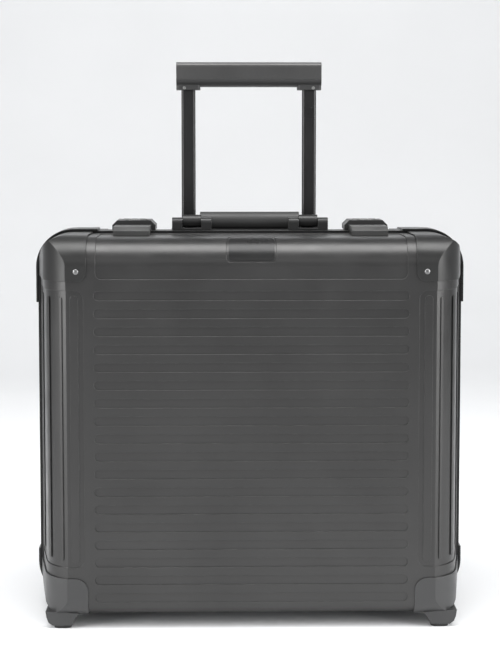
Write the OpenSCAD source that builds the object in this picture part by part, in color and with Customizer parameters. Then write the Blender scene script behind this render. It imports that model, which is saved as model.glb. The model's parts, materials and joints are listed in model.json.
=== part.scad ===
// Rolling flight case: two pressed aluminium half shells on an extruded frame, hinged at the bottom,
// with combination latches, a folding carry handle, a telescopic trolley handle and two wheels.
// X runs to the right, Y to the back and Z up. The floor is Z = 0 and the halves part at Y = 0.

/* [Case] */
// Width over the frame
case_w = 440; // [410:1:480]
// Height of the frame, from its lower to its upper face
case_h = 384; // [350:1:430]
// Depth of each half shell, from the parting plane to its face
half_depth = 102; // [90:1:125]
// Height of the frame's lower face above the floor
floor_gap = 11; // [10:0.5:14]
// Outer radius of the frame's corners
frame_corner_r = 37; // [30:1:45]

/* [Pressed shells] */
// Thickness of the shell sheet
sheet_t = 1.2; // [1:0.1:1.4]
// Radius of the roll between face and top
roll_top_r = 28; // [22:1:32]
// Radius of the roll between face and bottom
roll_bottom_r = 19; // [14:1:24]
// Radius of the side wings
wing_r = 42; // [34:1:48]
// Angle of the crease between face and wing
crease_angle = 24; // [15:1:30]
// Draft of the shell's sides
side_draft = 10; // [6:1:12]
// Number of horizontal grooves in the face
groove_count = 18; // [8:1:20]
// Distance between neighbouring grooves
groove_pitch = 17.8; // [14:0.1:18.5]
// Width of a groove
groove_w = 9.3; // [6:0.1:11]
// Depth of a groove
groove_d = 1.2; // [0.6:0.1:1.5]
// Half length of a groove
groove_half = 156; // [120:1:158]
// Depth of the broad pressed panels
panel_d = 1; // [0.5:0.1:1.2]

/* [Frame] */
// Depth of each frame rail along Y
rail_d = 14; // [12:0.5:18]
// Width of each frame rail, across the wall
rail_w = 6.6; // [6:0.1:9]
// Height of the frame above the shell surface
rail_proud = 2.4; // [1.5:0.1:3]
// Length of the frame corner guards along the top
guard_top = 62; // [50:1:75]
// Length of the frame corner guards down the side
guard_side = 74; // [50:1:85]
// Thickness of the frame corner guards
guard_t = 2; // [1.5:0.1:2.5]

/* [Corner caps] */
// Height of the top corner caps
cap_h = 43; // [38:1:50]
// Width of the top corner caps
cap_w = 54.5; // [48:0.5:60]
// Height of the bottom corner caps
foot_cap_h = 39; // [32:1:46]
// Thickness of the corner caps
cap_t = 1.5; // [1.2:0.1:2]
// Stand-off of the corner caps from the shell
cap_gap = 0.1; // [0.05:0.05:0.3]

/* [Latches] */
// Distance of each latch from the middle
latch_x = 121.5; // [105:0.5:130]
// Width of the lock body
lock_w = 45; // [40:1:50]
// Height of the lock body
lock_h = 10; // [9.5:0.5:12]
// Depth of the lock body
lock_d = 37; // [34:1:42]
// Width of the striker
striker_w = 37; // [32:1:39]
// Radius of a number dial
dial_r = 6.4; // [6.2:0.1:6.6]
// Width of a number dial
dial_w = 6.6; // [5:0.1:7]
// Distance between neighbouring dials
dial_pitch = 8; // [7.5:0.1:9]

/* [Carry handle] */
// Distance of each handle lug from the middle
lug_x = 61; // [55:1:66]
// Width of a handle lug
lug_w = 19.6; // [16:0.2:20]
// Radius of a handle lug
lug_r = 6.6; // [6:0.1:8]
// Reach of the handle from its pivot to the middle of its grip
handle_reach = 34; // [30:1:38]
// Depth of the grip
handle_grip_d = 24; // [20:1:26]
// Height of the grip
handle_grip_h = 18; // [15:1:19]

/* [Trolley] */
// Distance of each trolley tube from the middle
tube_x = 66; // [60:1:72]
// Width of the upper tubes
tube_w = 15.3; // [13:0.1:16]
// Depth of the upper tubes
tube_d = 11; // [9:0.1:12]
// Wall of the trolley tubes
tube_wall = 1.2; // [1:0.1:1.4]
// Sliding clearance of the trolley tubes on each side
tube_gap = 0.2; // [0.1:0.05:0.3]
// Height that the upper tubes are drawn out
drawn_out = 150; // [60:1:160]
// Length of the upper tubes
upper_tube_len = 330; // [300:1:340]
// Width of the trolley grip
grip_w = 158; // [150:1:176]
// Height of the trolley grip
grip_h = 26.5; // [24:0.5:30]
// Depth of the trolley grip
grip_d = 26; // [22:0.5:28]

/* [Wheels] */
// Radius of a wheel
wheel_r = 25; // [22:0.5:26]
// Width of a wheel
wheel_w = 20; // [16:0.5:22]
// Distance of each wheel from the middle
wheel_x = 184; // [176:1:186]
// Radius of the wheel axle
axle_r = 3; // [2.5:0.1:4]
// Radial running clearance of wheels, dials and pins
run_gap = 0.05; // [0.02:0.01:0.09]

/* [Hidden] */
$fn = 64;

// Overshoot of cutting solids
over = 1;
// Clearance between pieces of different bodies
clear = 0.3;
// Clearance between pieces that are fastened together
seat = 0.1;

frame_z0 = floor_gap;
frame_z1 = floor_gap + case_h;
frame_hw = case_w / 2;
shell_z0 = frame_z0 + rail_proud;
shell_z1 = frame_z1 - rail_proud;
shell_hw = frame_hw - rail_proud;
shell_corner_r = frame_corner_r - rail_proud;
// The shell's open edge ends inside the rail, this far from the parting plane
shell_edge = 6;
part_gap = 0.2;

// Wing profile: the arc runs from the crease to the drafted side
wing_turn = 90 - side_draft;
wing_dx = wing_r * (sin(wing_turn) - sin(crease_angle));
wing_dy = wing_r * (cos(crease_angle) - cos(wing_turn));
wing_end_x = shell_hw - tan(side_draft) * (half_depth - wing_dy - rail_d);
crease_x = wing_end_x - wing_dx;
wing_cx = crease_x - wing_r * sin(crease_angle);
wing_cd = wing_r * cos(crease_angle);

// Grooves hang from the top panel
groove_top_z = shell_z1 - 57.2;
// Top panel: a broad pressed band over the roll
band_half = 154;
band_z = shell_z1 - 41;
band_r = 6;
band_y = rail_d + 8;
// Side panels and the beads in them
side_panel_x = 166;
side_panel_z0 = shell_z0 + 50;
side_panel_z1 = shell_z1 - 52;
side_panel_r = 9;
side_panel_y = 28;
bead_x = 175.2;
bead_w = 8.2;
bead_end = 5;
wing_beads = [[189, 3], [202.4, 2.6], [212.6, 1.4]];

cap_x = frame_hw - cap_w - rail_proud;
cap_z = shell_z1 - cap_h;
cap_r = 9;
foot_cap_x = cap_x;
foot_cap_z = shell_z0 + foot_cap_h;
foot_cap_r = 13;
// How far a cap laps over the shell round the opening beneath it
lap = 7;

// Badge recess on the roll
badge_half = 22.5;
badge_z0 = shell_z1 - 22;
badge_z1 = shell_z1 - 1.2;
badge_margin = 2.2;
badge_r = 4;

// Latch
lock_y0 = 1.2;
lock_z0 = frame_z1 + seat;
lock_chamfer = 5;
dial_y = 24;
dial_z = lock_z0 + lock_h - dial_r + 1;
dial_shaft_r = 1.5;
tongue_w = 12;
tongue_t = 2;
tongue_z = lock_z0 + 2;
tongue_reach = 5;
slider_w = 18;
slider_d = 8.4;
slider_y = 8;
slider_travel = 6;
slider_z = lock_z0 + lock_h - 2.8;

// Carry handle
handle_y = 10;
handle_z = frame_z1 + 9;
handle_pin_r = 2.5;
bracket_ear = 10.5;
bracket_top_r = 5;
core_r = 5;
arm_w = 16;
arm_t = 9;

// Trolley
mid_w = tube_w + 2 * (tube_wall + tube_gap);
mid_d = tube_d + 2 * (tube_wall + tube_gap);
outer_w = mid_w + 2 * (tube_wall + tube_gap);
outer_d = mid_d + 2 * (tube_wall + tube_gap);
tube_r = 3;
tube_y = 88;
outer_tube_z0 = shell_z0 + 9;
bezel_top = shell_z1 + 0.2;
bezel_h = 20;
bezel_half = tube_x + outer_w / 2 + 8;
bezel_d = outer_d + 10;
outer_tube_z1 = bezel_top - 2;
mid_tube_z1 = bezel_top - 6;
mid_tube_z0 = outer_tube_z0 + 18;
grip_collar_h = 3.3;
grip_z0 = bezel_top + 0.8 + drawn_out;
grip_z1 = grip_z0 + grip_collar_h + grip_h;
grip_base_h = 8;
button_w = 30;
button_d = 10;
button_h = 5;
button_travel = 2.5;

// Wheels
wheel_y = half_depth - wheel_r + 2;
wheel_z = wheel_r;
pocket_gap = 2;
pocket_side = 3;
pocket_wall = 2;
hub_r = 17;
bearing_r = 8;
housing_x = wheel_x - wheel_w / 2 - pocket_side - 16;
housing_z = wheel_z + wheel_r + 12;

// Hinge
hinge_r = 3;
hinge_z = frame_z0 - hinge_r - 0.4;
hinge_pin_r = 1.5;
hinge_x = 95;
knuckle_w = 14;
knuckle_gap = 0.3;
knuckle_count = 5;
leaf_t = 1.2;

// Lining
lining_t = 1.2;
lining_i = sheet_t + groove_d + panel_d;
base_back_y = tube_y - bezel_d / 2 - 0.7;

// ---- Profiles ----

// Rectangle from [x0, y0] to [x1, y1] with a radius at each corner: bl, br, tr, tl
module plate4(x0, x1, y0, y1, bl, br, tr, tl) {
    difference() {
        translate([x0, y0]) square([x1 - x0, y1 - y0]);
        if (bl > 0) translate([x0 - over, y0 - over]) square(bl + over);
        if (br > 0) translate([x1 - br, y0 - over]) square(br + over);
        if (tr > 0) translate([x1 - tr, y1 - tr]) square(tr + over);
        if (tl > 0) translate([x0 - over, y1 - tl]) square(tl + over);
    }
    if (bl > 0) translate([x0 + bl, y0 + bl]) circle(bl);
    if (br > 0) translate([x1 - br, y0 + br]) circle(br);
    if (tr > 0) translate([x1 - tr, y1 - tr]) circle(tr);
    if (tl > 0) translate([x0 + tl, y1 - tl]) circle(tl);
}

module plate(x0, x1, y0, y1, r) plate4(x0, x1, y0, y1, r, r, r, r);

// Extrude an X-Z profile from y0 to y1, a Y-Z profile from x0 to x1
module along_y(y0, y1) translate([0, y1, 0]) rotate([90, 0, 0]) linear_extrude(y1 - y0) children();
module along_x(x0, x1) translate([x0, 0, 0]) rotate([90, 0, 90]) linear_extrude(x1 - x0) children();
module along_z(z0, z1) translate([0, 0, z0]) linear_extrude(z1 - z0) children();

module both_sides() {
    children();
    mirror([1, 0, 0]) children();
}

module at_latches() for (side = [-1, 1]) translate([side * latch_x, 0, 0]) children();

// Outline of the frame, drawn in by i
module frame_outline(i) plate(-frame_hw + i, frame_hw - i, frame_z0 + i, frame_z1 - i, frame_corner_r - i);

// Outline of the shell, drawn in by i
module shell_outline(i) plate(-shell_hw + i, shell_hw - i, shell_z0 + i, shell_z1 - i, shell_corner_r - i);

// Plan of the right wing, drawn in by i: an arc from the crease, then the drafted side straight on from it
module wing_plan(i) {
    ray = 1.5 * wing_r * [sin(crease_angle - 8), -cos(crease_angle - 8)];
    side_start = (wing_r - i) * [sin(wing_turn), -cos(wing_turn)];
    side_end = side_start + 2.4 * wing_r * [cos(wing_turn), sin(wing_turn)];
    translate([wing_cx, wing_cd - half_depth]) difference() {
        translate([-2 * frame_hw, -1.3 * wing_r]) square([2 * frame_hw + 1.5 * wing_r, 3.3 * wing_r]);
        difference() {
            polygon([[0, 0], ray, [2 * wing_r, ray[1]], [2 * wing_r, side_end[1]], side_end, side_start]);
            circle(wing_r - i);
        }
    }
}

// One half of the case as a solid, facing forward, drawn in by i and ending at y_end
module half_form(i, y_end) intersection() {
    along_y(-half_depth - 3, y_end) shell_outline(i);
    along_x(-frame_hw, frame_hw) plate4(-half_depth + i, half_depth, shell_z0 + i, shell_z1 - i,
        roll_bottom_r - i, 0, 0, roll_top_r - i);
    along_z(0, frame_z1) intersection() {
        wing_plan(i);
        mirror([1, 0]) wing_plan(i);
    }
}

// ---- Pressed shells ----

module groove_cut(i) for (k = [0 : groove_count - 1])
    along_y(-half_depth - over, -half_depth + groove_d + i)
        plate(-groove_half - i, groove_half + i, groove_top_z - k * groove_pitch - groove_w / 2 - i,
            groove_top_z - k * groove_pitch + groove_w / 2 + i, groove_w / 2 + i);

module band_area(i) along_y(-half_depth - over, -band_y + i)
    plate4(-band_half - i, band_half + i, band_z - i, frame_z1, band_r + i, band_r + i, 0, 0);

module side_area(i, beads) along_y(-half_depth - over, -side_panel_y + i) difference() {
    plate(side_panel_x - i, frame_hw + side_panel_r, side_panel_z0 - i, side_panel_z1 + i, side_panel_r + i);
    if (beads) {
        plate(bead_x - bead_w / 2, bead_x + bead_w / 2, side_panel_z0 + bead_end, side_panel_z1 - bead_end,
            bead_w / 2 - 0.01);
        for (b = wing_beads)
            plate(b[0] - b[1] / 2, b[0] + b[1] / 2, side_panel_z0 + bead_end + 2, side_panel_z1 - bead_end - 2,
                b[1] / 2 - 0.01);
    }
}

// The form with its grooves and panels pressed in
module pressed_form(i, y_end, beads) difference() {
    half_form(i, y_end);
    groove_cut(i);
    difference() {
        union() {
            band_area(i);
            side_area(i, beads);
            mirror([1, 0, 0]) side_area(i, beads);
        }
        half_form(i + panel_d, y_end + over);
    }
}

// Openings in the shell beneath the corner caps, the lower one from x_low out and up to z_top
module cap_openings(x_low, z_top) both_sides() {
    along_y(-half_depth - over, -rail_d - 4)
        plate(cap_x + lap, frame_hw + cap_r, cap_z + lap, frame_z1 + cap_r, cap_r);
    along_y(-half_depth - over, -rail_d - 4)
        plate(x_low + lap, frame_hw + cap_r, frame_z0 - cap_r, z_top - lap, cap_r);
}

module front_shell() color([0.24, 0.24, 0.235]) {
    difference() {
        pressed_form(0, -shell_edge, true);
        pressed_form(sheet_t, -shell_edge + over, false);
        cap_openings(foot_cap_x, foot_cap_z);
        badge_recess();
        both_sides() rivet_holes();
    }
}

module back_shell() color([0.24, 0.24, 0.235]) difference() {
    mirror([0, 1, 0]) difference() {
        pressed_form(0, -shell_edge, true);
        pressed_form(sheet_t, -shell_edge + over, false);
        cap_openings(housing_x, housing_z);
    }
    along_z(bezel_top - bezel_h - seat, frame_z1 + over)
        plate(-bezel_half - seat, bezel_half + seat, tube_y - bezel_d / 2 - seat, half_depth + over, 3);
}

// ---- Frame ----

// Rail ring with a channel that takes the shell's edge, facing forward
module rail_ring() difference() {
    along_y(-rail_d, -part_gap) frame_outline(0);
    along_y(-rail_d - over, over) frame_outline(rail_w);
    along_y(-rail_d - over, -shell_edge + seat) difference() {
        frame_outline(rail_proud - seat);
        frame_outline(rail_proud + sheet_t + seat);
    }
}

tongue_i = 3;
tongue_w_i = 1.5;
tongue_depth = 1.6;
seal_depth = 1.4;

module front_frame() color([0.3, 0.3, 0.3]) difference() {
    rail_ring();
    along_y(-tongue_depth - clear - seal_depth, over) difference() {
        frame_outline(tongue_i - part_gap);
        frame_outline(tongue_i + tongue_w_i + part_gap);
    }
}

module back_frame() color([0.3, 0.3, 0.3]) {
    mirror([0, 1, 0]) rail_ring();
    along_y(-tongue_depth, part_gap + 0.5) difference() {
        frame_outline(tongue_i);
        frame_outline(tongue_i + tongue_w_i);
    }
}

module frame_seal() color([0.06, 0.06, 0.06]) along_y(-tongue_depth - clear - seal_depth + seat / 2,
        -tongue_depth - clear) difference() {
    frame_outline(tongue_i);
    frame_outline(tongue_i + tongue_w_i);
}

module guards(y0, y1) both_sides() intersection() {
    along_y(y0, y1) difference() {
        frame_outline(-guard_t);
        frame_outline(-seat / 2);
    }
    union() {
        translate([frame_hw - guard_top, y0 - over, frame_z1 - guard_side])
            cube([guard_top + 2 * guard_t, y1 - y0 + 2 * over, guard_side + 2 * guard_t]);
        translate([frame_hw - guard_top, y0 - over, frame_z0 - 2 * guard_t])
            cube([guard_top + 2 * guard_t, y1 - y0 + 2 * over, frame_corner_r + 14 + 2 * guard_t]);
    }
}

module front_frame_guards() color([0.34, 0.34, 0.34]) guards(-rail_d - 1.2, -2 * part_gap);
module back_frame_guards() color([0.34, 0.34, 0.34]) guards(2 * part_gap, rail_d + 1.2);

// ---- Corner caps ----

module top_cap() intersection() {
    difference() {
        half_form(-cap_gap - cap_t, -rail_d - seat);
        half_form(-cap_gap, -rail_d + over);
    }
    along_y(-half_depth - 3, 0) plate(cap_x, frame_hw + cap_r, cap_z, frame_z1 + cap_r, cap_r);
}

module front_top_caps() color([0.3, 0.3, 0.3]) both_sides() difference() {
    top_cap();
    rivet_holes();
}

module back_top_caps() color([0.3, 0.3, 0.3]) mirror([0, 1, 0]) both_sides() top_cap();

// Rivet of the top caps
rivet_x = crease_x - 10.2;
rivet_z = cap_z + 9.6;
rivet_r = 2.8;
rivet_shank_r = 1.6;
rivet_dome = 1.1;
module rivet_holes() translate([rivet_x, -half_depth - 3, rivet_z]) rotate([-90, 0, 0])
    cylinder(r = rivet_shank_r + seat / 2, h = 9);

module cap_rivets() color([0.5, 0.5, 0.5]) both_sides() translate([rivet_x, -half_depth - cap_gap - cap_t, rivet_z])
    rotate([90, 0, 0]) {
        translate([0, 0, -4]) cylinder(r = rivet_shank_r, h = 4);
        intersection() {
            dome_r = (rivet_r * rivet_r + rivet_dome * rivet_dome) / (2 * rivet_dome);
            translate([0, 0, rivet_dome - dome_r]) sphere(dome_r);
            cylinder(r = rivet_r + over, h = rivet_dome + over);
        }
    }

// Foot under each bottom cap: a stem that carries the cap's side down, with a pad under it
foot_y0 = -96;
foot_y1 = -62;
foot_pad_h = 3;
foot_x = wing_end_x - 1;

module front_foot_caps() color([0.27, 0.27, 0.27]) both_sides() difference() {
    union() {
        intersection() {
            half_form(-cap_gap - cap_t, -rail_d - seat);
            along_y(-half_depth - 3, 0)
                plate(foot_cap_x, frame_hw + cap_r, frame_z0 - foot_cap_r - 9, foot_cap_z, foot_cap_r);
        }
        along_y(foot_y0, foot_y1) polygon([[foot_x - 33, shell_z0 + 2], [foot_x - 29, foot_pad_h + 5.5],
            [foot_x - 26.5, foot_pad_h], [foot_x - 7, foot_pad_h], [foot_x - 3, foot_pad_h + 3],
            [foot_x - 1, foot_pad_h + 8], [foot_x, shell_z0 + 4]]);
    }
    half_form(-cap_gap, -rail_d + over);
}

module foot_pads() color([0.08, 0.08, 0.08]) both_sides() along_z(0, foot_pad_h - seat / 2)
    plate(foot_x - 25.5, foot_x - 8, foot_y0 + 1.5, foot_y1 - 1.5, 6);

// ---- Badge ----

module badge_recess() difference() {
    along_y(-half_depth - over, -half_depth + roll_top_r + 2)
        plate(-badge_half - badge_margin, badge_half + badge_margin, badge_z0 - badge_margin, shell_z1 - 0.3,
            badge_r);
    half_form(panel_d + 0.7, 0);
}

module badge_plate() color([0.12, 0.12, 0.12]) intersection() {
    difference() {
        half_form(panel_d - 0.6, 0);
        half_form(panel_d + 0.65, over);
    }
    along_y(-half_depth - over, -half_depth + roll_top_r)
        plate(-badge_half, badge_half, badge_z0, badge_z1, badge_r - 1);
}

// ---- Hinge ----

hinge_half = (knuckle_count * knuckle_w + (knuckle_count - 1) * knuckle_gap) / 2;
function knuckle_x(k) = -hinge_half + k * (knuckle_w + knuckle_gap);

// Leaf and knuckles k0, k0 + 2, ... of one half, the leaf reaching toward +Y
module hinge_leaf(k0) difference() {
    union() {
        translate([-hinge_half, hinge_r + 2 * clear, frame_z0 - seat - leaf_t])
            cube([2 * hinge_half, rail_d - hinge_r - 4 * clear, leaf_t]);
        for (k = [k0 : 2 : knuckle_count - 1]) translate([knuckle_x(k), 0, 0]) {
            translate([0, 0, hinge_z]) rotate([0, 90, 0]) cylinder(r = hinge_r, h = knuckle_w);
            translate([0, 0, frame_z0 - seat - leaf_t])
                cube([knuckle_w, hinge_r + 2 * clear + over, leaf_t]);
        }
    }
    translate([-hinge_half - over, 0, hinge_z]) rotate([0, 90, 0])
        cylinder(r = hinge_pin_r + run_gap, h = 2 * hinge_half + 2 * over);
}

module at_hinges() for (side = [-1, 1]) translate([side * hinge_x, 0, 0]) children();
module hinge_back_leaves() color([0.3, 0.3, 0.3]) at_hinges() hinge_leaf(0);
module hinge_front_leaves() color([0.3, 0.3, 0.3]) at_hinges() mirror([0, 1, 0]) hinge_leaf(1);
module hinge_pins() color([0.6, 0.6, 0.6]) at_hinges() translate([-hinge_half - 1.2, 0, hinge_z])
    rotate([0, 90, 0]) {
        cylinder(r = hinge_pin_r, h = 2 * hinge_half + 2.4);
        cylinder(r = hinge_r - 0.6, h = 1.2 - knuckle_gap / 2);
        translate([0, 0, 2 * hinge_half + 1.2 + knuckle_gap / 2]) cylinder(r = hinge_r - 0.6, h = 1.2 - knuckle_gap / 2);
    }

// ---- Latches ----

module lock_bodies() color([0.22, 0.22, 0.22]) at_latches() difference() {
    along_y(lock_y0, lock_y0 + lock_d) polygon([
        [-lock_w / 2, lock_z0], [lock_w / 2, lock_z0], [lock_w / 2, lock_z0 + lock_h - lock_chamfer],
        [lock_w / 2 - lock_chamfer, lock_z0 + lock_h], [-lock_w / 2 + lock_chamfer, lock_z0 + lock_h],
        [-lock_w / 2, lock_z0 + lock_h - lock_chamfer]]);
    // Window of the dials
    translate([-1.5 * dial_pitch - 0.6, dial_y - dial_r - 0.6, lock_z0 - over])
        cube([3 * dial_pitch + 1.2, 2 * dial_r + 1.2, lock_h + 2 * over]);
    // Bore of the dial shaft
    translate([-1.5 * dial_pitch - 3.6, dial_y, dial_z]) rotate([0, 90, 0])
        cylinder(r = dial_shaft_r + run_gap, h = 3 * dial_pitch + 7.2);
    // Slot of the striker's tongue
    translate([-tongue_w / 2 - 0.4, 0, tongue_z - 0.6])
        cube([tongue_w + 0.8, lock_y0 + tongue_reach + 0.6, tongue_t + 1.2]);
    // Recess of the slider
    translate([-slider_w / 2 - clear, slider_y - slider_d / 2 - clear, slider_z - clear])
        cube([slider_w + slider_travel + 2 * clear, slider_d + 2 * clear, lock_h]);
}

module lock_dial_shafts() color([0.6, 0.6, 0.6]) at_latches()
    translate([-1.5 * dial_pitch - 3.4, dial_y, dial_z]) rotate([0, 90, 0])
        cylinder(r = dial_shaft_r, h = 3 * dial_pitch + 6.8);

// Number dial with ten finger notches
module dial(side, k) color([0.65, 0.65, 0.65])
    translate([side * latch_x + k * dial_pitch - dial_w / 2, dial_y, dial_z]) rotate([0, 90, 0]) difference() {
        cylinder(r = dial_r, h = dial_w);
        translate([0, 0, -over]) cylinder(r = dial_shaft_r + run_gap, h = dial_w + 2 * over);
        for (n = [0 : 9]) rotate([0, 0, n * 36 + 18]) translate([dial_r + 0.35, 0, -over])
            cylinder(r = 0.8, h = dial_w + 2 * over);
    }

module slider(side) color([0.5, 0.5, 0.5]) translate([side * latch_x, slider_y, slider_z]) {
    translate([-slider_w / 2, -slider_d / 2, 0]) cube([slider_w, slider_d, 2.4]);
    for (k = [-2 : 2]) translate([k * 2.6 - 0.6, -slider_d / 2 + 1, 2.4]) cube([1.2, slider_d - 2, 0.8]);
}

striker_front = -46;
module strikers() color([0.45, 0.45, 0.45]) at_latches() {
    along_x(-striker_w / 2, striker_w / 2) polygon([
        [-1, lock_z0], [-1, lock_z0 + 4.4], [-2.2, lock_z0 + 5.6], [striker_front + 6, lock_z0 + 5.6],
        [striker_front, lock_z0 + 1.6], [striker_front, shell_z1 - panel_d + seat],
        [-band_y - clear, shell_z1 - panel_d + seat], [-band_y - clear, shell_z1 + seat],
        [-rail_d - seat, shell_z1 + seat], [-rail_d - seat, lock_z0]]);
    translate([-tongue_w / 2, -2, tongue_z]) cube([tongue_w, 2 + lock_y0 + tongue_reach - 1, tongue_t]);
}

// ---- Carry handle ----

bracket_half = lug_w / 2 + clear + bracket_ear;
module handle_brackets() color([0.28, 0.28, 0.28]) both_sides() translate([lug_x, 0, 0]) difference() {
    along_x(-bracket_half, bracket_half) plate4(handle_y - 9, handle_y + 9,
        frame_z1 + seat, handle_z + 3.6, 0, 0, bracket_top_r, bracket_top_r);
    along_x(-lug_w / 2 - clear, lug_w / 2 + clear)
        translate([handle_y - 10, handle_z - lug_r - 0.5]) square([20, 20]);
    translate([-bracket_half - over, handle_y, handle_z]) rotate([0, 90, 0])
        cylinder(r = handle_pin_r + run_gap, h = 2 * bracket_half + 2 * over);
}

module handle_pins() color([0.6, 0.6, 0.6]) both_sides() translate([lug_x - bracket_half + 0.5, handle_y, handle_z])
    rotate([0, 90, 0]) cylinder(r = handle_pin_r, h = 2 * bracket_half - 1);

module carry_handle_arms() color([0.3, 0.3, 0.3]) {
    both_sides() difference() {
        union() {
            translate([lug_x - lug_w / 2, handle_y, handle_z]) rotate([0, 90, 0]) cylinder(r = lug_r, h = lug_w);
            translate([lug_x - arm_w / 2, handle_y, handle_z - arm_t / 2]) cube([arm_w, handle_reach, arm_t]);
            translate([lug_x - arm_w / 2, handle_y + handle_reach, handle_z]) rotate([0, 90, 0])
                cylinder(r = arm_t / 2, h = arm_w);
        }
        translate([lug_x - lug_w, handle_y, handle_z]) rotate([0, 90, 0])
            cylinder(r = handle_pin_r + run_gap, h = 2 * lug_w);
    }
    translate([-lug_x + arm_w / 2 - 1, handle_y + handle_reach, handle_z]) rotate([0, 90, 0])
        cylinder(r = core_r - 0.6, h = 2 * lug_x - arm_w + 2);
}

module carry_handle_grip() color([0.1, 0.1, 0.1]) difference() {
    along_x(-lug_x + arm_w / 2 + seat, lug_x - arm_w / 2 - seat)
        translate([handle_y + handle_reach, handle_z - 0.8])
            plate4(-handle_grip_d / 2, handle_grip_d / 2, -handle_grip_h / 2, handle_grip_h / 2, 8, 8, 8.9, 8.9);
    translate([-lug_x, handle_y + handle_reach, handle_z]) rotate([0, 90, 0])
        cylinder(r = core_r - 0.6 + seat / 2, h = 2 * lug_x);
}

// ---- Trolley ----

module tube_section(w, d, wall, r) difference() {
    plate(-w / 2, w / 2, -d / 2, d / 2, r);
    plate(-w / 2 + wall, w / 2 - wall, -d / 2 + wall, d / 2 - wall, max(0.5, r - wall));
}

module at_tubes() for (side = [-1, 1]) translate([side * tube_x, tube_y, 0]) children();

module trolley_outer_tubes() color([0.35, 0.35, 0.35]) at_tubes()
    along_z(outer_tube_z0, outer_tube_z1) tube_section(outer_w, outer_d, tube_wall, tube_r + 2.8);
module trolley_middle_tubes() color([0.4, 0.4, 0.4]) at_tubes()
    along_z(mid_tube_z0, mid_tube_z1) tube_section(mid_w, mid_d, tube_wall, tube_r + 1.4);
module trolley_upper_tubes() color([0.4, 0.4, 0.4]) at_tubes()
    along_z(grip_z0 - upper_tube_len, grip_z0 + grip_collar_h + grip_base_h)
        tube_section(tube_w, tube_d, tube_wall, tube_r);

module trolley_bezel() color([0.12, 0.12, 0.12]) difference() {
    along_z(bezel_top - bezel_h, bezel_top)
        plate4(-bezel_half, bezel_half, tube_y - bezel_d / 2, half_depth - 0.5, 3, 3, 6, 6);
    // Lightened between the tubes
    translate([-tube_x + outer_w / 2 + 3, tube_y - bezel_d / 2 + 2, bezel_top - bezel_h - over])
        cube([2 * tube_x - outer_w - 6, bezel_d - 4, bezel_h - 1]);
    at_tubes() {
        along_z(bezel_top - bezel_h - over, bezel_top + over)
            plate(-mid_w / 2 - tube_gap, mid_w / 2 + tube_gap, -mid_d / 2 - tube_gap, mid_d / 2 + tube_gap, 4.6);
        along_z(bezel_top - bezel_h - over, outer_tube_z1 + seat)
            plate(-outer_w / 2 - seat, outer_w / 2 + seat, -outer_d / 2 - seat, outer_d / 2 + seat, 5.9);
    }
}

module trolley_foot_bracket() color([0.12, 0.12, 0.12]) difference() {
    intersection() {
        mirror([0, 1, 0]) half_form(sheet_t + seat, 0);
        along_z(shell_z0, outer_tube_z0 + 13)
            plate(-bezel_half, bezel_half, base_back_y + seat, tube_y + outer_d / 2 + 1.5, 2);
    }
    at_tubes() along_z(outer_tube_z0 - seat, frame_z1)
        plate(-outer_w / 2 - seat, outer_w / 2 + seat, -outer_d / 2 - seat, outer_d / 2 + seat, 5.9);
}

module grip_section(i) plate4(tube_y - grip_d / 2 + i, tube_y + grip_d / 2 - i, grip_z0 + grip_collar_h + i,
    grip_z1 - i, 9 - i, 9 - i, 5 - i, 5 - i);

module grip_tube_sockets() at_tubes() along_z(grip_z0 - over, grip_z0 + grip_collar_h + grip_base_h + 1)
    plate(-tube_w / 2 - seat, tube_w / 2 + seat, -tube_d / 2 - seat, tube_d / 2 + seat, tube_r);

module trolley_grip() color([0.45, 0.45, 0.45]) difference() {
    intersection() {
        along_x(-grip_w / 2, grip_w / 2) grip_section(0);
        translate([-grip_w, 0, grip_z0 + grip_collar_h + grip_base_h]) cube([2 * grip_w, 2 * half_depth, grip_h]);
    }
    grip_tube_sockets();
    translate([-button_w / 2 - 0.3, tube_y - button_d / 2 - 0.3, grip_z1 - button_h - button_travel - 0.5])
        cube([button_w + 0.6, button_d + 0.6, 2 * button_h]);
}

module trolley_grip_base() color([0.2, 0.2, 0.2]) difference() {
    union() {
        intersection() {
            along_x(-grip_w / 2, grip_w / 2) grip_section(0);
            translate([-grip_w, 0, grip_z0]) cube([2 * grip_w, 2 * half_depth, grip_collar_h + grip_base_h - seat / 2]);
        }
        at_tubes() along_z(grip_z0, grip_z0 + grip_collar_h + 3)
            plate(-13, 13, -10, 10, 3);
    }
    grip_tube_sockets();
    grip_screw_places() translate([0, 0, -over]) cylinder(r = 1.9, h = 9);
}

module grip_screw_places() both_sides()
    translate([tube_x + 4.2, tube_y - 10 - seat, grip_z0 + 2]) rotate([-90, 0, 0]) children();

module grip_screws() color([0.6, 0.6, 0.6]) grip_screw_places() difference() {
    cylinder(r = 1.8, h = 1.4);
    translate([0, 0, -0.01]) cylinder(r = 0.8, h = 0.8, $fn = 6);
}

module trolley_button() color([0.1, 0.1, 0.1])
    along_z(grip_z1 - button_h, grip_z1) plate(-button_w / 2, button_w / 2, tube_y - button_d / 2,
        tube_y + button_d / 2, 2);

// ---- Wheels ----

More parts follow.
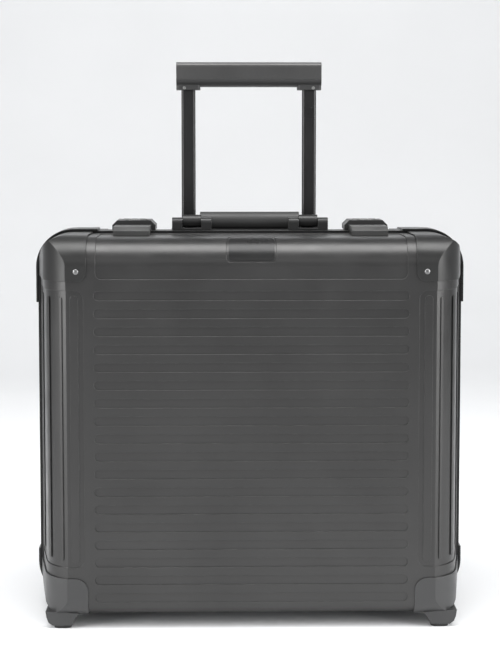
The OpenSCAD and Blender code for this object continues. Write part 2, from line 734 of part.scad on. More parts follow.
module wheel_housing() difference() {
    union() {
        intersection() {
            mirror([0, 1, 0]) difference() {
                half_form(-cap_gap - cap_t, -rail_d - seat);
                half_form(-cap_gap, -rail_d + over);
            }
            along_y(0, half_depth + 3) plate(housing_x, frame_hw + cap_r, frame_z0 - 9, housing_z, cap_r);
        }
        intersection() {
            mirror([0, 1, 0]) half_form(-cap_gap - cap_t / 2, -rail_d - seat);
            translate([wheel_x - wheel_w / 2 - pocket_side - pocket_wall, wheel_y - wheel_r - pocket_gap - pocket_wall, 0])
                cube([wheel_w + 2 * pocket_side + 2 * pocket_wall, half_depth, wheel_z + wheel_r + pocket_gap + pocket_wall]);
        }
    }
    translate([wheel_x - wheel_w / 2 - pocket_side, wheel_y - wheel_r - pocket_gap, -over])
        cube([wheel_w + 2 * pocket_side, half_depth, wheel_z + wheel_r + pocket_gap + over]);
    translate([wheel_x - wheel_w / 2 - pocket_side - pocket_wall - over, wheel_y, wheel_z]) rotate([0, 90, 0])
        cylinder(r = axle_r + run_gap, h = wheel_w + 2 * pocket_side + pocket_wall + over + 1.2);
}

module wheel_housings() color([0.1, 0.1, 0.1]) both_sides() wheel_housing();

module wheel_axles() color([0.6, 0.6, 0.6]) both_sides()
    translate([wheel_x - wheel_w / 2 - pocket_side - pocket_wall - 0.6, wheel_y, wheel_z]) rotate([0, 90, 0])
        cylinder(r = axle_r, h = wheel_w + 2 * pocket_side + pocket_wall + 1.6);

// Ring about the X axis at a wheel, from x0 to x1 either side of the wheel's middle
module wheel_ring(side, r_out, r_in, half) translate([side * wheel_x - half, wheel_y, wheel_z])
    rotate([0, 90, 0]) difference() {
        cylinder(r = r_out, h = 2 * half);
        translate([0, 0, -over]) cylinder(r = r_in, h = 2 * half + 2 * over);
    }

module wheel_tyre(side) color([0.08, 0.08, 0.08]) translate([side * wheel_x, wheel_y, wheel_z]) rotate([0, 90, 0])
    rotate_extrude() difference() {
        plate4(hub_r, wheel_r, -wheel_w / 2, wheel_w / 2, 0, 3, 3, 0);
        for (k = [-1, 1]) translate([wheel_r, k * 4]) circle(0.8);
    }

module wheel_hub(side) color([0.3, 0.3, 0.3]) difference() {
    wheel_ring(side, hub_r - seat / 2, bearing_r + seat / 2, wheel_w / 2 - 2);
    for (n = [0 : 4]) for (face = [-1, 1]) translate([side * wheel_x + face * (wheel_w / 2), wheel_y, wheel_z])
        rotate([n * 72, 0, 0]) translate([0, 0, (hub_r + bearing_r) / 2]) rotate([0, 90, 0])
            cylinder(r = 3, h = 14, center = true);
}

module wheel_bearings(side) color([0.6, 0.6, 0.6]) {
    wheel_ring(side, bearing_r, axle_r + run_gap, wheel_w / 2 - 1);
    wheel_ring(side, axle_r + 2, axle_r + run_gap, wheel_w / 2 + pocket_side - clear);
}

// ---- Lining ----

module lining_block(i) {
    x0 = wheel_x - wheel_w / 2 - pocket_side - pocket_wall - 1 - i;
    both_sides() translate([x0, wheel_y - wheel_r - pocket_gap - pocket_wall - 1 - i, 0])
        cube([frame_hw, half_depth, housing_z + i]);
}

// Body that fills the base half inside the lining, drawn in by i and carried forward by y_over
module lining_form(i, y_over) difference() {
    intersection() {
        mirror([0, 1, 0]) half_form(lining_i + i, -rail_d + y_over);
        along_y(0, base_back_y - i) frame_outline(0);
    }
    lining_block(i);
}

module base_lining() color([0.16, 0.16, 0.17]) difference() {
    lining_form(0, 0);
    lining_form(lining_t, over);
}

module lid_lining() color([0.16, 0.16, 0.17]) difference() {
    half_form(lining_i, -rail_d);
    half_form(lining_i + lining_t, -rail_d + over);
}

sleeve_half = 165;
sleeve_z0 = 40;
sleeve_z1 = 320;
sleeve_y = base_back_y - lining_t - seat;
module laptop_sleeve() color([0.13, 0.13, 0.14]) {
    along_y(sleeve_y - 6, sleeve_y) plate(-sleeve_half, sleeve_half, sleeve_z0, sleeve_z1, 14);
    along_y(sleeve_y - 42, sleeve_y - 36) plate(-sleeve_half, sleeve_half, sleeve_z0, sleeve_z1 - 60, 14);
    for (side = [-1, 1]) translate([side * (sleeve_half - 3) - 3, sleeve_y - 38, sleeve_z0 + 14])
        cube([6, 34, sleeve_z1 - sleeve_z0 - 88]);
    translate([-sleeve_half + 14, sleeve_y - 38, sleeve_z0]) cube([2 * sleeve_half - 28, 34, 6]);
}

module sleeve_strap() color([0.1, 0.1, 0.1]) along_x(-19, 19) difference() {
    plate4(sleeve_y - 48, sleeve_y - 6 - seat, sleeve_z1 - 110, sleeve_z1 - 14, 1, 0, 0, 6);
    plate4(sleeve_y - 46, sleeve_y - 5, sleeve_z1 - 111, sleeve_z1 - 16, 0, 0, 0, 4);
}

panel_y = -20;
module organiser_panel() color([0.13, 0.13, 0.14]) intersection() {
    half_form(lining_i + lining_t + seat, 0);
    along_y(panel_y - 3, panel_y) frame_outline(0);
}

module organiser_pockets() color([0.15, 0.15, 0.16]) along_y(panel_y + seat, panel_y + 4) {
    plate(-180, -6, 60, 190, 8);
    plate(6, 180, 60, 190, 8);
    plate(-180, 180, 215, 330, 8);
}

back_shell();
back_frame();
back_frame_guards();
back_top_caps();
wheel_housings();
wheel_axles();
lock_bodies();
lock_dial_shafts();
handle_brackets();
handle_pins();
trolley_outer_tubes();
trolley_bezel();
trolley_foot_bracket();
hinge_back_leaves();
hinge_pins();
base_lining();
laptop_sleeve();
sleeve_strap();
front_shell();
front_frame();
front_frame_guards();
front_top_caps();
front_foot_caps();
foot_pads();
cap_rivets();
badge_plate();
strikers();
hinge_front_leaves();
frame_seal();
lid_lining();
organiser_panel();
organiser_pockets();
carry_handle_arms();
carry_handle_grip();
trolley_middle_tubes();
trolley_upper_tubes();
trolley_grip();
trolley_grip_base();
grip_screws();
trolley_button();
wheel_tyre(-1);  // wheel_tyre_left
wheel_hub(-1);  // wheel_hub_left
wheel_bearings(-1);  // wheel_bearings_left
wheel_tyre(1);  // wheel_tyre_right
wheel_hub(1);  // wheel_hub_right
wheel_bearings(1);  // wheel_bearings_right
slider(-1);  // lock_slider_left
slider(1);  // lock_slider_right
dial(-1, -1);  // dial_left_a
dial(-1, 0);  // dial_left_b
dial(-1, 1);  // dial_left_c
dial(1, -1);  // dial_right_a
dial(1, 0);  // dial_right_b
dial(1, 1);  // dial_right_c
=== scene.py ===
"""Looks of a pilot's rolling flight case: black anodised shells on a black frame, dressed inside with lining,
a padded laptop sleeve, an organiser panel and its pockets. Metres, in the frame of the CAD part."""
import json
import math

import bpy
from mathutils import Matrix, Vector, noise


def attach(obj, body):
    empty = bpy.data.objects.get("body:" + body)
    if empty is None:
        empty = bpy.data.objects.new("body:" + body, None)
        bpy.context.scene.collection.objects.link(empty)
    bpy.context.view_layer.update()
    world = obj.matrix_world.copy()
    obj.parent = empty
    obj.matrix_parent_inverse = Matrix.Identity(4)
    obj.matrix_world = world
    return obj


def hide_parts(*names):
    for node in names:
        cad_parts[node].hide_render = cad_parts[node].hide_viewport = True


MM = 0.001

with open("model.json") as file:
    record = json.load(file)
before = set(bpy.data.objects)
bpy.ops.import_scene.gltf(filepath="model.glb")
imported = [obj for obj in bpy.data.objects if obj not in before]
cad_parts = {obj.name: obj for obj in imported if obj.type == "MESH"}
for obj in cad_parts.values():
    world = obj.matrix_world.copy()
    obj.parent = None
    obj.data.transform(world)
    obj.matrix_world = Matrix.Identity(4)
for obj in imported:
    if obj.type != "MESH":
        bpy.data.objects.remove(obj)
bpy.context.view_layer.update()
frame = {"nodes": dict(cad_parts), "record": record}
nodes = frame["nodes"]

# ---- Camera and stage ----

PIXELS = 500.0  # width of the frame, in pixels
FOCAL = 1577.0  # focal length, in pixels
EYE = (-0.0271, -1.6480, 0.4820)
PITCH, YAW = 4.35, -0.94  # degrees down, degrees to the left
SHIFT_Y = -60.0  # in pixels


def make_camera():
    data = bpy.data.cameras.new("Camera")
    data.sensor_fit = "HORIZONTAL"
    data.sensor_width = 36.0
    data.lens = FOCAL / PIXELS * data.sensor_width
    data.shift_y = SHIFT_Y / PIXELS
    data.clip_start = 0.05
    camera = bpy.data.objects.new("Camera", data)
    camera.location = EYE
    camera.rotation_euler = (math.radians(90 - PITCH), 0, math.radians(YAW))
    bpy.context.collection.objects.link(camera)
    bpy.context.scene.camera = camera


def area_light(name, place, aim, size, power):
    data = bpy.data.lights.new(name, "AREA")
    data.shape = "RECTANGLE"
    data.size, data.size_y = size
    data.energy = power
    lamp = bpy.data.objects.new(name, data)
    lamp.location = place
    lamp.rotation_euler = (Vector(aim) - Vector(place)).to_track_quat("-Z", "Y").to_euler()
    bpy.context.collection.objects.link(lamp)


def make_stage():
    """A pale floor that curves up into a backdrop."""
    profile = [(-5.0, 0.0), (1.6, 0.0)]
    profile += [(1.6 + 1.4 * math.sin(math.radians(a)), 1.4 - 1.4 * math.cos(math.radians(a)))
                for a in range(6, 91, 6)]
    profile.append((3.0, 6.0))
    floor = new_mesh("floor", [(x, y, z) for y, z in profile for x in (-7, 0, 7)],
                     [(3 * k + c, 3 * k + c + 1, 3 * k + c + 4, 3 * k + c + 3)
                      for k in range(len(profile) - 1) for c in (0, 1)])
    floor.data.materials.append(stage_material())


def make_world():
    world = bpy.data.worlds.new("World")
    bpy.context.scene.world = world
    world.use_nodes = True
    tree = world.node_tree
    tree.nodes.clear()
    out = tree.nodes.new("ShaderNodeOutputWorld")
    light = tree.nodes.new("ShaderNodeBackground")
    light.inputs["Color"].default_value = (0.62, 0.63, 0.65, 1)
    light.inputs["Strength"].default_value = 0.5
    seen = tree.nodes.new("ShaderNodeBackground")
    seen.inputs["Color"].default_value = (0.86, 0.865, 0.87, 1)
    seen.inputs["Strength"].default_value = 1.0
    ray = tree.nodes.new("ShaderNodeLightPath")
    mix = tree.nodes.new("ShaderNodeMixShader")
    tree.links.new(ray.outputs["Is Camera Ray"], mix.inputs["Fac"])
    tree.links.new(light.outputs[0], mix.inputs[1])
    tree.links.new(seen.outputs[0], mix.inputs[2])
    tree.links.new(mix.outputs[0], out.inputs["Surface"])


# ---- Materials ----


class Graph:
    """A material's node tree, with short calls for the nodes that these finishes use."""

    def __init__(self, name):
        self.material = bpy.data.materials.new(name)
        self.material.use_nodes = True
        self.tree = self.material.node_tree
        self.tree.nodes.clear()
        self.out = self.add("ShaderNodeOutputMaterial")
        self.shader = self.add("ShaderNodeBsdfPrincipled")
        self.link(self.shader.outputs[0], self.out.inputs["Surface"])
        self.place = self.add("ShaderNodeTexCoord").outputs["Object"]

    def add(self, kind, **settings):
        node = self.tree.nodes.new(kind)
        for key, value in settings.items():
            setattr(node, key, value)
        return node

    def link(self, a, b):
        self.tree.links.new(a, b)

    def scaled(self, x, y, z):
        node = self.add("ShaderNodeMapping")
        self.link(self.place, node.inputs["Vector"])
        node.inputs["Scale"].default_value = (x, y, z)
        return node.outputs[0]

    def noise(self, scale, detail=3.0, where=None):
        node = self.add("ShaderNodeTexNoise")
        node.inputs["Scale"].default_value = scale
        node.inputs["Detail"].default_value = detail
        self.link(where or self.place, node.inputs["Vector"])
        return node.outputs["Fac"]

    def span(self, value, low, high, to_low, to_high):
        node = self.add("ShaderNodeMapRange")
        for key, number in (("From Min", low), ("From Max", high), ("To Min", to_low), ("To Max", to_high)):
            node.inputs[key].default_value = number
        self.link(value, node.inputs["Value"])
        return node.outputs[0]

    def math(self, operation, a, b):
        node = self.add("ShaderNodeMath", operation=operation)
        for socket, value in zip(node.inputs, (a, b)):
            if isinstance(value, (int, float)):
                socket.default_value = value
            else:
                self.link(value, socket)
        return node.outputs[0]

    def blend(self, share, a, b):
        node = self.add("ShaderNodeMix", data_type="RGBA")
        self.link(share, node.inputs["Factor"])
        for socket, value in zip((node.inputs[6], node.inputs[7]), (a, b)):
            if isinstance(value, tuple):
                socket.default_value = (*value, 1)
            else:
                self.link(value, socket)
        return node.outputs[2]

    def edges(self, radius):
        """(normal softened over the edges, mask that is 1 on them)"""
        soft = self.add("ShaderNodeBevel", samples=4)
        soft.inputs["Radius"].default_value = radius
        true = self.add("ShaderNodeNewGeometry").outputs["Normal"]
        dot = self.add("ShaderNodeVectorMath", operation="DOT_PRODUCT")
        self.link(soft.outputs[0], dot.inputs[0])
        self.link(true, dot.inputs[1])
        return soft.outputs[0], self.span(dot.outputs["Value"], 0.995, 0.90, 0.0, 1.0)

    def bump(self, height, distance, normal=None):
        node = self.add("ShaderNodeBump")
        node.inputs["Strength"].default_value = 1.0
        node.inputs["Distance"].default_value = distance
        self.link(height, node.inputs["Height"])
        if normal is not None:
            self.link(normal, node.inputs["Normal"])
        return node.outputs[0]


def tint(colour, factor):
    return tuple(min(1.0, c * factor) for c in colour)


def hard_finish(name, colour, rough, metallic=0.0, grain=2200, grain_depth=0.00002, edge=0.0005,
                wear_and_highlight_share=0.35, streaks=None, coat=0.0):
    """Metal or moulded plastic: mottled colour, fine grain, rounded edges, and colour lifted lighter in patches
    along them, partly wear and partly a painted edge highlight.
    """
    mottle, rough_spread = 0.10, 0.05
    g = Graph(name)
    cloud = g.noise(9.0, 4.0)
    speck = g.noise(grain, 2.0, g.scaled(*streaks) if streaks else None)
    base = g.blend(g.span(cloud, 0.3, 0.7, 0.0, 1.0), tint(colour, 1 - mottle), tint(colour, 1 + mottle))
    base = g.blend(g.span(speck, 0.35, 0.75, 0.0, 0.35), base, tint(colour, 1.35))
    soft, rim = g.edges(edge)
    # Partly wear, partly painted highlight: patches along the edges are lifted to a much lighter tone, and the
    # rubbed patches are a little smoother.
    wear_and_edge_highlight = g.math("MULTIPLY", rim, g.span(g.noise(140.0, 5.0), 0.42, 0.66, 0.0, wear_and_highlight_share))
    base = g.blend(wear_and_edge_highlight, base, tint(colour, 3.2) if max(colour) < 0.2 else tint(colour, 1.25))
    g.link(base, g.shader.inputs["Base Color"])
    g.shader.inputs["Metallic"].default_value = metallic
    g.shader.inputs["Specular IOR Level"].default_value = 0.5
    g.shader.inputs["Coat Weight"].default_value = coat
    g.link(g.math("SUBTRACT", g.span(g.noise(38.0, 4.0), 0.3, 0.7, rough - rough_spread, rough + rough_spread),
                  g.math("MULTIPLY", wear_and_edge_highlight, 0.15)), g.shader.inputs["Roughness"])
    g.link(g.bump(speck, grain_depth, soft), g.shader.inputs["Normal"])
    return g.material


def cloth_finish(name, colour, pitch=0.00055, depth=0.00012, rough=0.9, sheen=0.25, fleck=0.25):
    """Woven cloth: threads both ways on every face, slubs, and a soft sheen."""
    g = Graph(name)
    turn = 2 * math.pi / pitch
    split = g.add("ShaderNodeSeparateXYZ")
    wander = g.add("ShaderNodeTexNoise")
    wander.inputs["Scale"].default_value = 60.0
    g.link(g.place, wander.inputs["Vector"])
    shift = g.add("ShaderNodeVectorMath", operation="SCALE")
    g.link(wander.outputs["Color"], shift.inputs[0])
    shift.inputs["Scale"].default_value = 0.0006
    moved = g.add("ShaderNodeVectorMath", operation="ADD")
    g.link(g.place, moved.inputs[0])
    g.link(shift.outputs[0], moved.inputs[1])
    g.link(moved.outputs[0], split.inputs[0])
    waves = [g.math("SINE", g.math("MULTIPLY", split.outputs[axis], turn), 0.0) for axis in range(3)]
    across = g.math("MULTIPLY", waves[0], waves[2])
    weave = g.math("ADD", across, g.math("MULTIPLY", waves[1], g.math("ADD", waves[0], waves[2])))
    slub = g.noise(900.0, 3.0)
    base = g.blend(g.span(weave, -1.2, 1.2, 0.0, 1.0), tint(colour, 1 - fleck), tint(colour, 1 + fleck))
    base = g.blend(g.span(g.noise(14.0, 4.0), 0.3, 0.7, 0.0, 0.5), base, tint(colour, 1.4))
    base = g.blend(g.span(slub, 0.55, 0.75, 0.0, 0.6), base, tint(colour, 1.7))
    g.link(base, g.shader.inputs["Base Color"])
    g.link(g.span(slub, 0.3, 0.7, rough - 0.08, rough), g.shader.inputs["Roughness"])
    g.shader.inputs["Sheen Weight"].default_value = sheen
    g.shader.inputs["Sheen Roughness"].default_value = 0.4
    g.shader.inputs["Specular IOR Level"].default_value = 0.2
    fold = g.bump(g.noise(55.0, 4.0), 0.0006)
    g.link(g.bump(g.math("ADD", weave, slub), depth, fold), g.shader.inputs["Normal"])
    return g.material


def stage_material():
    g = Graph("floor")
    cloud = g.noise(1.4, 3.0)
    g.link(g.blend(g.span(cloud, 0.3, 0.7, 0.0, 1.0), (0.80, 0.805, 0.81), (0.84, 0.845, 0.85)),
           g.shader.inputs["Base Color"])
    g.shader.inputs["Roughness"].default_value = 0.75
    g.link(g.bump(g.noise(700.0, 2.0), 0.00004), g.shader.inputs["Normal"])
    return g.material


def make_finishes():
    black = (0.026, 0.026, 0.0263)
    return {
        "shell": hard_finish("anodised_shell", (0.055, 0.0545, 0.054), 0.36, 0.85, 3200, 0.000012, 0.0007, 0.25),
        "frame": hard_finish("anodised_frame", (0.026, 0.026, 0.026), 0.36, 0.85, 2600, 0.00001, 0.0006, 0.4,
                             streaks=(1, 1, 0.05)),
        "guard": hard_finish("anodised_guard", (0.034, 0.034, 0.034), 0.33, 0.85, 2600, 0.00001, 0.0006, 0.5),
        "cap": hard_finish("corner_cap", (0.036, 0.036, 0.0355), 0.36, 0.7, 3000, 0.00001, 0.0009, 0.4),
        "foot_cap": hard_finish("moulded_foot_cap", black, 0.42, 0.0, 1500, 0.00002, 0.0009, 0.35, coat=0.1),
        "black_plastic": hard_finish("moulded_plastic", tint(black, 0.7), 0.5, 0.0, 1300, 0.00003, 0.0006, 0.25),
        "lock": hard_finish("lock_body", (0.028, 0.028, 0.028), 0.38, 0.5, 1800, 0.00001, 0.0006, 0.4),
        "striker": hard_finish("brushed_striker", (0.12, 0.12, 0.118), 0.34, 0.9, 2400, 0.00001, 0.0006, 0.3,
                               streaks=(0.06, 1, 1)),
        "dial": hard_finish("dial", (0.16, 0.16, 0.158), 0.34, 0.7, 1500, 0.00001, 0.0004, 0.5),
        "steel": hard_finish("steel", (0.34, 0.34, 0.33), 0.30, 1.0, 2600, 0.000008, 0.0003, 0.3,
                             streaks=(0.08, 1, 1)),
        "rivet": hard_finish("rivet", (0.17, 0.17, 0.17), 0.30, 0.9, 2600, 0.000006, 0.0003, 0.5),
        "tube": hard_finish("anodised_tube", (0.04, 0.04, 0.04), 0.30, 0.9, 2600, 0.000008, 0.0005, 0.3,
                            streaks=(1, 1, 0.04)),
        "grip": hard_finish("anodised_grip", (0.075, 0.0745, 0.074), 0.40, 0.8, 2600, 0.000012, 0.0009, 0.3,
                            streaks=(0.1, 1, 1)),
        "handle": hard_finish("handle_metal", (0.034, 0.034, 0.034), 0.38, 0.7, 2000, 0.00001, 0.0007, 0.4),
        "soft_grip": hard_finish("soft_grip", (0.024, 0.024, 0.024), 0.50, 0.0, 900, 0.00006, 0.0008, 0.2),
        "badge": hard_finish("badge", (0.022, 0.022, 0.022), 0.28, 0.6, 2600, 0.00003, 0.0004, 0.4),
        "rubber": hard_finish("rubber", (0.022, 0.022, 0.022), 0.78, 0.0, 700, 0.00005, 0.0006, 0.2),
        "tyre": hard_finish("tyre", (0.026, 0.026, 0.026), 0.72, 0.0, 800, 0.00006, 0.0006, 0.5),
        "lining": cloth_finish("lining_cloth", (0.045, 0.046, 0.050), 0.0007, 0.00010, 0.75, 0.35),
        "padding": cloth_finish("padded_cloth", (0.034, 0.035, 0.038), 0.0011, 0.00018, 0.92, 0.2, 0.35),
    }


def dress_cad(finishes):
    for part in frame["record"]["subparts"]:
        mesh = nodes[part["node"]].data
        mesh.materials.clear()
        mesh.materials.append(finishes[part["material_slot"]])


# ---- Soft goods ----

LINING_INSET, LINING_RIM = 3.6, 14.6  # off the shell, and off the parting plane, in mm
MID_Z = 203.0  # middle of the inside, in mm
BINDING_DRAW = 0.9945  # share of the outline at which the binding lies
SHELL_HALF, SHELL_TOP, SHELL_BOTTOM, CORNER = 217.6, 392.6, 13.4, 34.6  # of part.scad, in mm
FACE, WING, WING_X, WING_DEPTH = 102.0, 42.0, 165.9, 63.63
ROLL_TOP, ROLL_BOTTOM, DRAFT = 28.0, 19.0, math.radians(10)


def new_mesh(name, points, faces):
    mesh = bpy.data.meshes.new(name)
    mesh.from_pydata([tuple(p) for p in points], [], faces)
    mesh.update()
    for face in mesh.polygons:
        face.use_smooth = True
    piece = bpy.data.objects.new(name, mesh)
    bpy.context.collection.objects.link(piece)
    return piece


def section_limits(depth, inset):
    """(half width, lowest z, highest z) of the case's inside at that depth from the parting plane, in mm."""
    r = WING - inset
    joint = WING_DEPTH + r * math.sin(DRAFT)
    if depth <= joint:
        half = WING_X + r * math.cos(DRAFT) + (joint - depth) * math.tan(DRAFT)
    else:
        half = WING_X + math.sqrt(max(0.0, r * r - (depth - WING_DEPTH) ** 2))
    low, high = SHELL_BOTTOM + inset, SHELL_TOP - inset
    for roll, sign in ((ROLL_TOP - inset, 1), (ROLL_BOTTOM - inset, -1)):
        start = FACE - inset - roll
        if depth > start:
            rise = roll - math.sqrt(max(0.0, roll * roll - (depth - start) ** 2))
            high, low = (high - rise, low) if sign > 0 else (high, low + rise)
    return min(half, SHELL_HALF - inset), low, high


def rim_points(inset, count):
    """Evenly spaced points (x, z) round the inside outline, in mm."""
    w, r = SHELL_HALF - inset, CORNER - inset
    z0, z1 = SHELL_BOTTOM + inset, SHELL_TOP - inset
    path = []
    for cx, cz, start in ((w - r, z1 - r, 0), (r - w, z1 - r, 90), (r - w, z0 + r, 180), (w - r, z0 + r, 270)):
        path += [(cx + r * math.cos(math.radians(start + a)), cz + r * math.sin(math.radians(start + a)))
                 for a in range(0, 91, 10)]
    path.append(path[0])
    lengths = [math.dist(a, b) for a, b in zip(path, path[1:])]
    step, found, k, done = sum(lengths) / count, [], 0, 0.0
    for n in range(count):
        while done + lengths[k] < n * step:
            done += lengths[k]
            k += 1
        t = (n * step - done) / lengths[k]
        found.append((path[k][0] + t * (path[k + 1][0] - path[k][0]),
                      path[k][1] + t * (path[k + 1][1] - path[k][1])))
    return found


def wrinkle(x, y, z):
    """Slack of fitted cloth at that point, from 0 to 1."""
    broad = noise.fractal(Vector((x / 95, y / 60, z / 95)), 1.0, 2.0, 2)
    fine = noise.fractal(Vector((x / 28 + 9, y / 40, z / 34)), 1.0, 2.0, 2)
    return max(0.0, min(1.0, 0.45 + 0.6 * broad + 0.3 * fine))


def tray(name, body, node, floor_depth, sign, notch=None):
    """Fitted lining of one half: walls from the rim down, then a flat back.
    notch(x, y, z) pushes it off what stands inside."""
    rim, count, walls, rings = LINING_RIM, 300, 11, 16
    outline = rim_points(LINING_INSET, count)
    points = []
    for k in range(walls + 1):
        depth = rim + (floor_depth - rim) * k / walls
        half, low, high = section_limits(depth, LINING_INSET)
        for x, z in outline:
            px, pz = max(-half, min(half, x)), max(low, min(high, z))
            slack = 2.6 * wrinkle(px, depth, pz) * math.sin(math.pi * min(1, 0.12 + k / walls) * 0.5)
            away = Vector((px, 0, pz - MID_Z)).normalized()
            points.append((px - away.x * slack, depth, pz - away.z * slack))
    half, low, high = section_limits(floor_depth, LINING_INSET)
    for k in range(1, rings + 1):
        share = 1 - k / rings
        for x, z in outline:
            px = max(-half, min(half, x)) * share
            pz = MID_Z + (max(low, min(high, z)) - MID_Z) * share
            points.append((px, floor_depth - 2.2 * wrinkle(px, 7, pz) * min(1.0, 4 * k / rings), pz))
    if notch:
        points = [notch(*p) for p in points]
    faces = [(k * count + n, k * count + (n + 1) % count,
              (k + 1) * count + (n + 1) % count, (k + 1) * count + n)
             for k in range(walls + rings) for n in range(count)]
    piece = new_mesh(name, [(x * MM, sign * y * MM, z * MM) for x, y, z in points], faces)
    thicken(piece, 0.0008)
    settle(piece, body, "lining", node)
    edge = [(x * BINDING_DRAW * MM, sign * (rim + 1.6) * MM, (MID_Z + (z - MID_Z) * BINDING_DRAW) * MM)
            for x, z in rim_points(LINING_INSET + 1.2, 160)]
    settle(tube(name + "_binding", edge, 1.3 * MM, True), body, "padding")


def thicken(piece, thickness):
    solid = piece.modifiers.new("thickness", "SOLIDIFY")
    solid.thickness, solid.offset = thickness, 0.0
    bpy.context.view_layer.objects.active = piece
    for other in bpy.context.selected_objects:
        other.select_set(False)
    piece.select_set(True)
    bpy.ops.object.modifier_apply(modifier=solid.name)


def settle(piece, body, slot, *replaced):
    piece.data.materials.append(finishes[slot])
    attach(piece, body)
    if replaced:
        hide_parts(*replaced)


def tube(name, path, radius, closed=False):
    """Round cord of piping or binding along a path."""
    points, faces, count, sides = [], [], len(path), 8
    for k, here in enumerate(path):
        ahead = Vector(path[(k + 1) % count] if closed or k + 1 < count else here)
        behind = Vector(path[k - 1] if closed or k else here)
        along = (ahead - behind).normalized()
        side = along.cross(Vector((0, 1, 0)))
        side = side.normalized() if side.length > 1e-6 else Vector((1, 0, 0))
        up = side.cross(along)
        points += [Vector(here) + radius * (math.cos(2 * math.pi * n / sides) * side
                                            + math.sin(2 * math.pi * n / sides) * up) for n in range(sides)]
    for k in range(count if closed else count - 1):
        for n in range(sides):
            a, b = k * sides + n, k * sides + (n + 1) % sides
            c, d = ((k + 1) % count) * sides + (n + 1) % sides, ((k + 1) % count) * sides + n
            faces.append((a, b, c, d))
    if not closed:
        faces += [tuple(range(sides)), tuple(range((count - 1) * sides, count * sides))]
    return new_mesh(name, points, faces)


def pad(name, x, z, y_mid, thick, body, slot, replaced=(), channels=(), edge=1.6):
    """Foam pad in cloth: crowned on both faces, drawn in along its sides and at its sewn channels, piped round.
    x, z and y_mid are in mm; channels are the z of horizontal seams."""
    nu, nv = 64, 56
    half_x, half_z = (x[1] - x[0]) / 2, (z[1] - z[0]) / 2
    mid_x, mid_z = (x[0] + x[1]) / 2, (z[0] + z[1]) / 2

    def foot(u, v):
        corner = (abs(u) * abs(v)) ** 8
        draw = 1.4 * (1 - v * v) * abs(u) ** 6, 1.4 * (1 - u * u) * abs(v) ** 6
        return (mid_x + u * (half_x * (1 - 0.03 * corner) - draw[0]),
                mid_z + v * (half_z * (1 - 0.03 * corner) - draw[1]))

    points = []
    for face in (-1, 1):
        for j in range(nv + 1):
            for i in range(nu + 1):
                u = math.sin(math.pi / 2 * (2 * i / nu - 1))
                v = math.sin(math.pi / 2 * (2 * j / nv - 1))
                px, pz = foot(u, v)
                swell = ((1 - abs(u) ** 7) * (1 - abs(v) ** 7)) ** 0.5
                for seam in channels:
                    swell *= 1 - 0.55 * math.exp(-((pz - seam) / 3.2) ** 2)
                swell *= 0.94 + 0.10 * noise.noise(Vector((px / 60, face * 3, pz / 60)))
                points.append((px * MM, (y_mid + face * (edge + (thick - edge) * swell) / 2) * MM, pz * MM))
    row, layer = nu + 1, (nu + 1) * (nv + 1)
    faces = []
    for j in range(nv):
        for i in range(nu):
            a = j * row + i
            faces.append((a, a + 1, a + row + 1, a + row))
            faces.append((layer + a, layer + a + row, layer + a + row + 1, layer + a + 1))
    rim = list(range(nu)) + [j * row + nu for j in range(nv)] + \
        [nv * row + i for i in range(nu, 0, -1)] + [j * row for j in range(nv, 0, -1)]
    for a, b in zip(rim, rim[1:] + rim[:1]):
        faces.append((b, a, layer + a, layer + b))
    piece = new_mesh(name, points, faces)
    settle(piece, body, slot, *replaced)
    path = [Vector(points[k]) for k in rim[::2]]
    for p in path:
        p.y = y_mid * MM
    settle(tube(name + "_piping", path, 1.3 * MM, True), body, "lining")


def pocket(name, x, z, y_back, bulge, body, replaced=()):
    """Gathered cloth pocket on the panel: elastic along its mouth, pleats under it, sewn down on three sides."""
    nu, nv, pleats = 110, 26, (x[1] - x[0]) / 17
    points = []
    for j in range(nv + 1):
        v = j / nv
        for i in range(nu + 1):
            u = i / nu
            belly = math.sin(math.pi * u) ** 0.5 * (0.25 + math.sin(math.pi * min(1.0, v * 0.86)) ** 0.8)
            gather = 0.5 + 0.5 * math.sin(2 * math.pi * pleats * u + 1.5 * math.sin(3 * v))
            out = belly * bulge * 0.75 + gather * bulge * 0.22 * v ** 2 + 0.4
            sewn = min(1.0, 9 * u, 9 * (1 - u), 7 * v + 0.1)  # 0 at the seams
            points.append(((x[0] + u * (x[1] - x[0])) * MM, (y_back + out * sewn) * MM,
                           (z[0] + v * (z[1] - z[0]) - 3 * math.sin(math.pi * u) * v) * MM))
    row = nu + 1
    faces = [(j * row + i, j * row + i + 1, (j + 1) * row + i + 1, (j + 1) * row + i)
             for j in range(nv) for i in range(nu)]
    piece = new_mesh(name, points, faces)
    top = [Vector(points[nv * row + i]) for i in range(0, nu + 1, 2)]
    thicken(piece, 0.0007)
    settle(piece, body, "lining", *replaced)
    settle(tube(name + "_elastic", top, 1.5 * MM), body, "padding")


def ribbon(name, path, width, thickness, body, slot, replaced=()):
    """Flat webbing across X along a path of (y, z), in mm."""
    points = []
    for y, z in path:
        points += [((-width / 2 + width * n / 8) * MM, y * MM, z * MM) for n in range(9)]
    faces = [(k * 9 + n, k * 9 + n + 1, (k + 1) * 9 + n + 1, (k + 1) * 9 + n)
             for k in range(len(path) - 1) for n in range(8)]
    piece = new_mesh(name, points, faces)
    thicken(piece, thickness * MM)
    settle(piece, body, slot, *replaced)


def clear_of_wheels(x, y, z):
    """The lining steps round the wheel housings: their boxes stand in the lower corners."""
    side, front, top = 166.0, 47.6, 64.0
    if abs(x) > side and y > front and z < top:
        gaps = (abs(x) - side, y - front, top - z)
        nearest = gaps.index(min(gaps))
        if nearest == 0:
            x = math.copysign(side, x)
        elif nearest == 1:
            y = front
        else:
            z = top
    return x, y, z


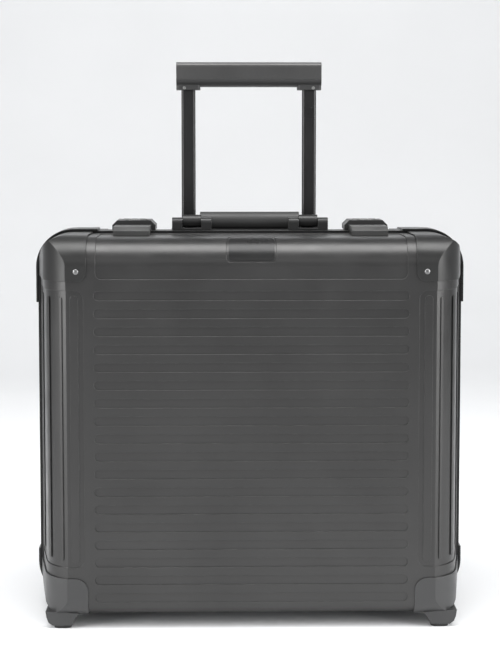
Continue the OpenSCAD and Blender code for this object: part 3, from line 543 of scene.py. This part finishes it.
def make_soft_goods():
    tray("lid_lining_cloth", "lid", "lid_lining", 98.0, -1)
    tray("base_lining_cloth", "base", "base_lining", 73.2, 1, clear_of_wheels)
    pad("sleeve_back", (-165, 165), (41, 320), 69.2, 6.0, "base", "padding", ("laptop_sleeve",),
        channels=(96, 152, 208, 264))
    pad("sleeve_front", (-165, 165), (41, 260), 33.7, 6.2, "base", "padding", channels=(96, 152, 208))
    for side in (-1, 1):
        folds = [(side * (161.5 + 1.8 * math.sin(0.9 * k)), 36.6 + 30.0 * k / 14) for k in range(15)]
        piece = new_mesh("sleeve_gusset_%s" % ("left" if side < 0 else "right"),
                         [(x * MM, y * MM, z * MM) for z in (48, 100, 150, 200, 245) for x, y in folds],
                         [(r * 15 + n, r * 15 + n + 1, (r + 1) * 15 + n + 1, (r + 1) * 15 + n)
                          for r in range(4) for n in range(14)])
        thicken(piece, 0.0009)
        settle(piece, "base", "lining")
    strap = [(66.0, 214), (65.4, 262), (65.0, 296), (60.5, 303.5), (50, 305), (38, 304.5), (28.5, 302),
             (25.6, 296), (25.2, 270), (25.6, 240), (26.0, 212)]
    ribbon("sleeve_strap_webbing", strap, 38, 1.8, "base", "padding", ("sleeve_strap",))
    pad("organiser_divider", (-205, 205), (24, 382), -21.6, 3.0, "lid", "padding", ("organiser_panel",),
        edge=1.2)
    pocket("organiser_pocket_left", (-180, -6), (60, 190), -19.6, 4.5, "lid", ("organiser_pockets",))
    pocket("organiser_pocket_right", (6, 180), (60, 190), -19.6, 4.5, "lid")
    pocket("organiser_pocket_top", (-180, 180), (215, 330), -19.6, 4.5, "lid")


finishes = make_finishes()
dress_cad(finishes)
make_soft_goods()
make_world()
make_stage()
for name, place, aim, size, watts in (("soft_left", (-1.9, -1.1, 1.0), (0, 0, 0.25), (1.0, 1.9), 46),
                                      ("soft_right", (1.9, -1.1, 1.0), (0, 0, 0.25), (1.0, 1.9), 46),
                                      ("soft_top", (0, -0.5, 2.3), (0, 0, 0.2), (2.2, 1.2), 62),
                                      ("soft_front", (0, -3.2, 1.6), (0, 0, 0.25), (2.4, 1.2), 8)):
    area_light(name, place, aim, size, watts)
make_camera()

bpy.context.scene.view_settings.view_transform = "Standard"
